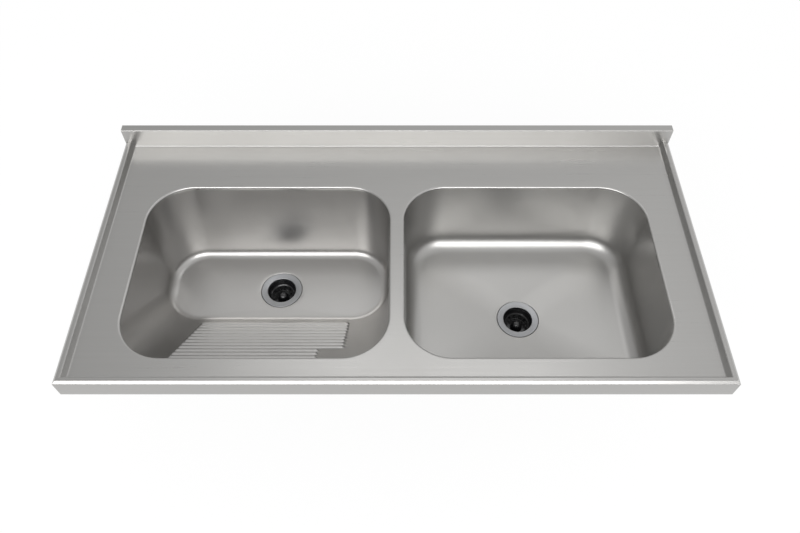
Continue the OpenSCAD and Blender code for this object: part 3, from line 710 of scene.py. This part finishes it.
# lifts the slope's mesh into round-backed ribs with round ends
def buildRibTree():
    onSlopeGap = 0.6 * mm
    footBlend = 0.9 * mm
    tree, make, entry, result = newTree("washboardRibs", [
        ("Count", "Float"), ("Pitch", "Float"), ("Height", "Float"), ("Radius", "Float"), ("First", "Float"),
        ("Left", "Float"), ("Right", "Float"), ("Short Count", "Float"), ("Short By", "Float"),
        ("Slope Top", "Vector"), ("Slope Angle", "Float"), ("Finish", "Material")])
    compute = mathMaker(make)
    value = entry.outputs

    def add(a, b):
        return compute("ADD", a, b)

    def less(a, b):
        return compute("SUBTRACT", a, b)

    def times(a, b):
        return compute("MULTIPLY", a, b)

    position = make("GeometryNodeInputPosition").outputs[0]
    place = make("ShaderNodeVectorMath", {0: position, 1: value["Slope Top"]}, operation="SUBTRACT")
    local = make("ShaderNodeSeparateXYZ", {0: place.outputs[0]}).outputs
    across = make("ShaderNodeSeparateXYZ", {0: position}).outputs["X"]
    sine = compute("SINE", value["Slope Angle"])
    cosine = compute("COSINE", value["Slope Angle"])
    down = less(times(local["Y"], cosine), times(local["Z"], sine))
    off = add(times(local["Y"], sine), times(local["Z"], cosine))
    onSlope = compute("LESS_THAN", compute("ABSOLUTE", off), onSlopeGap)
    fromFirst = less(down, value["First"])
    nearest = compute("ROUND", compute("DIVIDE", fromFirst, value["Pitch"]))
    index = compute("MAXIMUM", compute("MINIMUM", nearest, less(value["Count"], 1.0)), 0.0)
    fromCrest = less(fromFirst, times(index, value["Pitch"]))
    isShort = compute("LESS_THAN", index, less(value["Short Count"], 0.5))
    end = less(value["Right"], times(isShort, value["Short By"]))
    past = compute("MAXIMUM", compute("MAXIMUM", less(across, end), less(value["Left"], across)), 0.0)
    away = compute("SQRT", add(times(past, past), times(fromCrest, fromCrest)))
    square = less(times(value["Radius"], value["Radius"]), times(away, away))
    back = less(compute("SQRT", compute("MAXIMUM", square, 0.0)), less(value["Radius"], value["Height"]))
    lift = times(compute("SMOOTH_MAX", back, 0.0, footBlend), onSlope)
    normal = make("ShaderNodeCombineXYZ", {"X": 0.0, "Y": sine, "Z": cosine})
    shift = make("ShaderNodeVectorMath", {0: normal.outputs[0]}, operation="SCALE")
    tree.links.new(lift, shift.inputs["Scale"])
    moved = make("GeometryNodeSetPosition", {"Geometry": value["Geometry"], "Offset": shift.outputs[0]})
    finishTree(tree, make, moved.outputs[0], value["Finish"], result)
    return tree


runTree(washShell, buildRibTree(), {**ribs, "Slope Top": [v * mm for v in slopeTop],
                                    "Slope Angle": slopeAngle, "Finish": tubSteelPaintedLight})
addThickness(washShell, bowl["sheet"], 50)    # the ribs' feet stay smooth
fit(washShell, tubSteelPaintedLight, "bowl_steel", "sink", "wash_bowl")
print("bowls made")


# wastes, measured up from the flange's seat

waste = {
    "flange": {"outer": 45, "mouth": 31, "sheet": 0.8, "dish": 7, "mouthBend": 1.8, "skirtBend": 1.2,
               "mouthZ": 1.3, "collar": 5.3, "clear": 0.3},
    "cup": {"collar": 31.9, "bore": 27.4, "thread": 34.9, "threadPitch": 3.0, "threadDepth": 1.0,
            "threadEnd": 0.3, "threadFoot": -30, "threadLead": 1, "top": 2.25, "topLead": 0.9, "crown": 1.8,
            "neck": 0.6, "flange": 43, "flangeFoot": 1.2, "topOut": 3.5, "coneTop": -6, "coneEnd": -14,
            "depth": 42, "funnel": 6, "outlet": 19.2, "spigot": 23.6, "end": -62, "wall": 3.1,
            "soft": 0.5, "topSoft": 0.25},
    "top_gasket": {"inner": 36.3, "outer": 42.5, "top": 1.2, "height": 1.2, "soft": 0.35},
    "under_washer": {"inner": 36, "outer": 43.5, "top": -1, "height": 2, "soft": 0.35},
    "slip_ring": {"inner": 36, "outer": 43.5, "top": -3, "height": 1, "soft": 0.35},
    "tail_washer": {"inner": 17.3, "outer": 22.8, "top": -62, "height": 2, "soft": 0.35},
    "lock_nut": {"outer": 43.5, "bore": 35.0, "top": -4, "height": 10, "soft": 0.8, "lugs": 6, "lugReach": 49,
                "lugWidth": 12, "lugInset": 1.5, "lugShort": 0.2, "lugBevel": 1.2},
    "coupling_nut": {"outer": 28.1, "bore": 23.7, "hole": 20.15, "foot": -69, "height": 23, "lip": 3,
                    "bevel": 1.2, "soft": 0.5, "ribs": 12, "ribRadius": 1.6, "ribHeight": 16},
    "tailpiece": {"top": -64, "flange": 22.8, "flangeHeight": 2, "upper": 19.85, "lower": 19.05,
                  "inner": 17.3, "shoulder": -104, "end": -164, "soft": 0.4},
    "basket": {"outer": 26.6, "wall": 1.8, "beadRing": 25.95, "beadZ": -13.98, "bead": 1.3, "lip": 2.6,
               "lipSlope": 42, "lipSoft": 0.4, "floor": -33.98, "floorBend": 1.2, "footBend": 1,
               "knob": 11, "knobTop": -12.48, "knobFoot": 2.5, "peg": 5.9, "pegEnd": -40.78, "pegBevel": 0.8,
               "holes": 16, "holeRing": 22.3, "hole": 1.6, "drill": 6},
    "stopper": {"inner": 6.0, "outer": 19.8, "top": -35.78, "height": 2.5, "soft": 0.5},
}


# repeats one small solid round an axis, joined to the body or cut out of it
def buildRoundTree():
    tree, make, entry, result = newTree("roundTheAxis", [
        ("Count", "Int"), ("Ring Radius", "Float"), ("Height", "Float"), ("Centre", "Vector"),
        ("Tool", "Object"), ("Cut", "Bool"), ("Finish", "Material")])
    value = entry.outputs
    ring = make("GeometryNodeMeshCircle", {"Vertices": value["Count"], "Radius": value["Ring Radius"]})
    lifted = make("ShaderNodeCombineXYZ", {"Z": value["Height"]})
    target = make("ShaderNodeVectorMath", {0: lifted.outputs[0], 1: value["Centre"]}, operation="ADD")
    placed = make("GeometryNodeTransform", {"Geometry": ring.outputs[0], "Translation": target.outputs[0]})
    position = make("GeometryNodeInputPosition").outputs[0]
    centred = make("ShaderNodeVectorMath", {0: position, 1: value["Centre"]}, operation="SUBTRACT")
    turn = make("FunctionNodeAlignRotationToVector", {"Vector": centred.outputs[0]}, axis="X", pivot_axis="Z")
    tool = make("GeometryNodeObjectInfo", {"Object": value["Tool"]})
    copies = make("GeometryNodeInstanceOnPoints", {
        "Points": placed.outputs[0], "Instance": tool.outputs["Geometry"], "Rotation": turn.outputs[0]})
    realCopies = make("GeometryNodeRealizeInstances", {"Geometry": copies.outputs[0]})
    joined = make("GeometryNodeJoinGeometry", {"Geometry": value["Geometry"]})
    tree.links.new(realCopies.outputs[0], joined.inputs[0])
    cut = make("GeometryNodeMeshBoolean", {"Mesh 1": value["Geometry"], "Mesh 2": realCopies.outputs[0]},
               operation="DIFFERENCE", solver="EXACT")
    chosen = make("GeometryNodeSwitch", {
        "Switch": value["Cut"], "False": joined.outputs[0], "True": cut.outputs[0]}, input_type="GEOMETRY")
    finishTree(tree, make, chosen.outputs[0], value["Finish"], result)
    return tree


roundTree = buildRoundTree()


def addRing(obj, tool, count, radius, at, height, finish, cut=False):
    runTree(obj, roundTree, {
        "Count": count, "Ring Radius": radius * mm, "Height": (at[2] + height) * mm,
        "Centre": (at[0] * mm, at[1] * mm, 0), "Tool": tool, "Cut": cut, "Finish": finish})
    toolMesh = tool.data
    bpy.data.objects.remove(tool)
    bpy.data.meshes.remove(toolMesh)
    smoothFaces(obj)


def makeBlock(size, bevel):
    bm = bmesh.new()
    bmesh.ops.create_cube(bm, size=1)
    for vert in bm.verts:
        vert.co = [c * s * mm for c, s in zip(vert.co, size)]
    bmesh.ops.bevel(bm, geom=list(bm.edges), offset=bevel * mm, segments=2, profile=0.5, affect="EDGES")
    mesh = bpy.data.meshes.new("lug")
    bm.to_mesh(mesh)
    bm.free()
    block = bpy.data.objects.new("lug", mesh)
    bpy.context.scene.collection.objects.link(block)
    return block


def makeRod(radius, height):
    core, endRound = 0.01, 0.35
    outline = softened(ringSection(core, radius, -height / 2, height / 2), radius * endRound)
    return lathe("rod", outline, steps=20)


# helical thread between two heights, as rows of one wall
def threadRows(radius, depth, pitch, low, high, steps):
    flank, rowsPerPitch = 1.6, 8
    rows = []
    z = low
    while z < high:
        row = []
        for k in range(steps + 1):
            phase = (z / pitch + k / steps) % 1
            ridge = 1 - abs(2 * phase - 1)
            fade = min(1, (z - low) / pitch, (high - z) / pitch)
            row.append(radius - depth * fade * (1 - min(1, ridge * flank)))
        rows.append((z, row))
        z += pitch / rowsPerPitch
    return rows


def ringSection(inner, outer, low, high):
    return [(inner, low), (outer, low), (outer, high), (inner, high)]


def buildCup(name, spec, at):
    flange = waste["flange"]
    steps = 96
    collarFoot = flange["mouthZ"] - flange["collar"] - flange["clear"]
    outer = spec["bore"] + spec["wall"]
    inside = [(spec["collar"], spec["top"] - spec["topLead"]), (spec["collar"], collarFoot),
              (flange["mouth"], collarFoot), (flange["mouth"], spec["coneTop"]),
              (spec["bore"], spec["coneEnd"]), (spec["bore"], spec["funnel"] - spec["depth"]),
              (spec["outlet"], -spec["depth"]), (spec["outlet"], spec["end"])]
    outside = [(spec["spigot"], spec["end"]), (spec["spigot"], -spec["depth"] - spec["wall"]),
               (outer, spec["funnel"] - spec["depth"] - spec["wall"]), (outer, spec["threadFoot"]),
               (spec["thread"] - spec["threadDepth"], spec["threadFoot"]),
               (spec["thread"], spec["threadFoot"] + spec["threadLead"])]
    walls = softened(inside + outside, spec["soft"])
    rim = softened([(spec["thread"], spec["neck"]), (spec["thread"], spec["flangeFoot"]),
                    (spec["flange"], spec["flangeFoot"]), (spec["flange"], spec["topOut"]),
                    (spec["collar"] + spec["crown"], spec["top"])], spec["topSoft"])
    rows = threadRows(spec["thread"], spec["threadDepth"], spec["threadPitch"],
                      spec["threadFoot"] + spec["threadLead"], spec["threadEnd"], steps)
    verts, faces = [], []
    for k in range(steps + 1):
        ax, ay = direction(360 * k / steps)
        line = walls + [(row[k], z) for z, row in rows] + rim + walls[:1]
        verts.extend((at[0] + r * ax, at[1] + r * ay, at[2] + z) for r, z in line)
    joinLines(faces, 0, steps + 1, len(line))
    return makeObject(name, verts, faces)


def basketOutline(spec):
    knob, foot, bend, edge = spec["knob"], spec["knobFoot"], spec["floorBend"], spec["footBend"]
    inner = spec["outer"] - spec["wall"]
    line = arc((0, spec["knobTop"] - knob), knob, 90, 0, 12)
    line.append((knob, spec["floor"] + foot))
    line.extend(arc((knob + foot, spec["floor"] + foot), foot, 180, 270, 5)[1:])
    line.extend(arc((inner - bend, spec["floor"] + bend), bend, 270, 360, 5))
    lipEdge = spec["beadZ"] + spec["bead"] - spec["lip"] * math.tan(math.radians(spec["lipSlope"]))
    line.append((inner, lipEdge - spec["lip"]))
    line.extend(softened([(inner, lipEdge - spec["lip"]), (spec["beadRing"] - spec["lip"], lipEdge),
                          (spec["beadRing"], spec["beadZ"] + spec["bead"])], spec["lipSoft"])[4:8])
    line.extend(arc((spec["beadRing"], spec["beadZ"]), spec["bead"], 90, -30, 9))
    bottom = spec["floor"] - spec["wall"]
    line.extend(arc((spec["outer"] - edge, bottom + edge), edge, 0, -90, 4))
    line.extend([(spec["peg"], bottom), (spec["peg"], spec["pegEnd"] + spec["pegBevel"]),
                 (spec["peg"] - spec["pegBevel"], spec["pegEnd"]), (0, spec["pegEnd"])])
    return line


def buildFlange(name, spec, at):
    dishCos, dishSin = direction(spec["dish"])
    run = (spec["outer"] - spec["mouth"] - spec["mouthBend"] * (1 - dishSin)
           - spec["skirtBend"] * (1 + dishSin)) / dishCos
    skirtTop = spec["mouthZ"] + run * dishSin + (spec["mouthBend"] - spec["skirtBend"]) * dishCos
    line = foldLine([(spec["collar"], 90 - spec["dish"], spec["mouthBend"]),
                     (run, 90 + spec["dish"], spec["skirtBend"]), (skirtTop - spec["clear"], 0, 0)],
                    (spec["mouth"], spec["mouthZ"] - spec["collar"]), 90)
    disc = lathe(name, line[::-1], at, closed=False, steps=128)
    addThickness(disc, spec["sheet"])
    return disc


def buildLockNut(name, spec, at):
    low = spec["top"] - spec["height"]
    nut = lathe(name, softened(ringSection(spec["bore"], spec["outer"], low, spec["top"]), spec["soft"]), at)
    lugStart = spec["bore"] + spec["lugInset"]
    lug = makeBlock((spec["lugReach"] - lugStart, spec["lugWidth"], spec["height"] - spec["lugShort"]),
                    spec["lugBevel"])
    ring = (spec["lugReach"] + lugStart) / 2
    addRing(nut, lug, spec["lugs"], ring, at, low + spec["height"] / 2, whitePlastic)
    return nut


def buildCouplingNut(name, spec, at):
    foot, top = spec["foot"], spec["foot"] + spec["height"]
    outline = softened([
        (spec["hole"], foot), (spec["outer"] - spec["bevel"], foot), (spec["outer"], foot + spec["bevel"]),
        (spec["outer"], top), (spec["bore"], top), (spec["bore"], foot + spec["lip"]),
        (spec["hole"], foot + spec["lip"])], spec["soft"])
    nut = lathe(name, outline, at)
    rib = makeRod(spec["ribRadius"], spec["ribHeight"])
    addRing(nut, rib, spec["ribs"], spec["outer"], at, foot + spec["ribHeight"] / 2, whitePlastic)
    return nut


def buildTailpiece(name, spec, at):
    flangeFoot = spec["top"] - spec["flangeHeight"]
    outline = softened([
        (spec["inner"], spec["top"]), (spec["inner"], spec["end"]), (spec["lower"], spec["end"]),
        (spec["lower"], spec["shoulder"]), (spec["upper"], spec["shoulder"]), (spec["upper"], flangeFoot),
        (spec["flange"], flangeFoot), (spec["flange"], spec["top"])], spec["soft"])
    return lathe(name, outline, at)


def buildBasket(name, spec, at):
    strainer = lathe(name, basketOutline(spec), at, closed=False)
    drill = makeRod(spec["hole"], spec["drill"])
    addRing(strainer, drill, spec["holes"], spec["holeRing"], at, spec["floor"], blackPlastic, cut=True)
    return strainer


def buildRing(name, spec, at):
    section = ringSection(spec["inner"], spec["outer"], spec["top"] - spec["height"], spec["top"])
    return lathe(name, softened(section, spec["soft"]), at)


def buildWaste(side, spec, body):
    black, white = (blackPlastic, "black_plastic"), (whitePlastic, "white_plastic")
    rubber = (blackRubber, "rubber")
    at = (spec["drainX"], spec["drainY"], spec["seatZ"])
    for label, build, (finish, slotName), rider in [
            ("flange", buildFlange, (wasteSteel, "waste_steel"), "sink"),
            ("cup", buildCup, black, "sink"),
            ("top_gasket", buildRing, rubber, "sink"),
            ("under_washer", buildRing, rubber, "sink"),
            ("slip_ring", buildRing, white, "sink"),
            ("tail_washer", buildRing, rubber, "sink"),
            ("lock_nut", buildLockNut, white, "sink"),
            ("coupling_nut", buildCouplingNut, white, "sink"),
            ("tailpiece", buildTailpiece, white, "sink"),
            ("basket", buildBasket, black, body),
            ("stopper", buildRing, rubber, body)]:
        piece = build(side + label.title().replace("_", ""), waste[label], at)
        fit(piece, finish, slotName, rider, side + "_" + label)


buildWaste("wash", wash, "left_basket")
buildWaste("rinse", rinse, "right_basket")
print("wastes made")


# rails and pads keep their solids from the CAD

for node in frame["nodes"].values():
    finish = {"rail": railZinc, "pad": padRubber}.get(node["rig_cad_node"].split("_")[-1])
    if finish:
        node.data.materials.clear()
        node.data.materials.append(finish)
print("rails and pads finished")


# studio: the camera stands where the photographer stood, fitted to the worktop's corners

studio = {"cameraAt": (6.3, -843.49, 1169.68), "tilt": 35.125, "lens": 31.93, "sensorWidth": 36,
          "floorHalf": 9, "floorZ": -0.35, "floorColor": (0.95, 0.95, 0.95, 1), "floorGlow": 0.9,
          "worldLeft": 0.61, "worldRight": 0.875, "worldBlend": 0.5}
lamps = [
    {"name": "overheadSoftbox", "at": (0.2, 2.4, 5.45), "aim": (0, 0, 0), "size": (3.7, 0.9), "power": 16.5},
    {"name": "frontSoftbox", "at": (-0.65, -4.69, 3.8), "aim": (0, 0, 0), "size": (6.9, 3.3), "power": 302},
]


def placeInScene(name, data, location, rotation=(0, 0, 0)):
    obj = bpy.data.objects.new(name, data)
    bpy.context.scene.collection.objects.link(obj)
    obj.location = location
    obj.rotation_euler = rotation
    return obj


# white where a camera, glossy or transmission ray meets it, plain paint for the object's light and shadow
def buildFloorPaint(color, glowShare):
    material = bpy.data.materials.new("studioFloorPaint")
    material.use_nodes = True
    material.node_tree.nodes.clear()
    make = nodeMaker(material.node_tree)
    compute = mathMaker(make)
    path = make("ShaderNodeLightPath").outputs
    seen = compute("MAXIMUM", compute("MAXIMUM", path["Is Camera Ray"], path["Is Glossy Ray"]),
                   path["Is Transmission Ray"])
    paint = make("ShaderNodeBsdfDiffuse", {"Color": color}).outputs[0]
    glow = make("ShaderNodeEmission", {"Color": (1, 1, 1, 1), "Strength": 1}).outputs[0]
    mixed = make("ShaderNodeMixShader", {0: compute("MULTIPLY", seen, glowShare), 1: paint, 2: glow})
    below = make("ShaderNodeNewGeometry").outputs["Backfacing"]    # from below it can be looked through
    clear = make("ShaderNodeBsdfTransparent").outputs[0]
    oneSided = make("ShaderNodeMixShader", {0: below, 1: mixed.outputs[0], 2: clear})
    make("ShaderNodeOutputMaterial", {0: oneSided.outputs[0]})
    return material


camera = placeInScene("camera", bpy.data.cameras.new("camera"), [v * mm for v in studio["cameraAt"]],
                      (math.radians(studio["tilt"]), 0, 0))
camera.data.sensor_width = studio["sensorWidth"]
camera.data.lens = studio["lens"]
bpy.context.scene.camera = camera

half, low = studio["floorHalf"], studio["floorZ"]
floorMesh = bpy.data.meshes.new("studioFloor")
floorMesh.from_pydata([(-half, -half, low), (half, -half, low), (half, half, low), (-half, half, low)], [],
                      [(0, 1, 2, 3)])
floorMesh.materials.append(buildFloorPaint(studio["floorColor"], studio["floorGlow"]))
studioFloor = placeInScene("studioFloor", floorMesh, (0, 0, 0))

# the room is a little brighter to the right
world = bpy.data.worlds.new("studioWorld")
bpy.context.scene.world = world
world.use_nodes = True
make = nodeMaker(world.node_tree)
background = world.node_tree.nodes["Background"]
background.inputs["Color"].default_value = (1, 1, 1, 1)
towards = make("ShaderNodeSeparateXYZ", {0: make("ShaderNodeTexCoord").outputs["Generated"]})
level = make("ShaderNodeMapRange", {
    0: towards.outputs["X"], 1: -studio["worldBlend"], 2: studio["worldBlend"],
    3: studio["worldLeft"], 4: studio["worldRight"]})
world.node_tree.links.new(level.outputs[0], background.inputs["Strength"])

for lamp in lamps:
    light = bpy.data.lights.new(lamp["name"], "AREA")
    light.shape = "RECTANGLE"
    light.size, light.size_y = lamp["size"]
    light.energy = lamp["power"]
    aim = Vector(lamp["aim"]) - Vector(lamp["at"])
    placeInScene(lamp["name"], light, lamp["at"], aim.to_track_quat("-Z", "Y").to_euler())

bpy.context.scene.view_settings.view_transform = "Standard"
print("studio made")
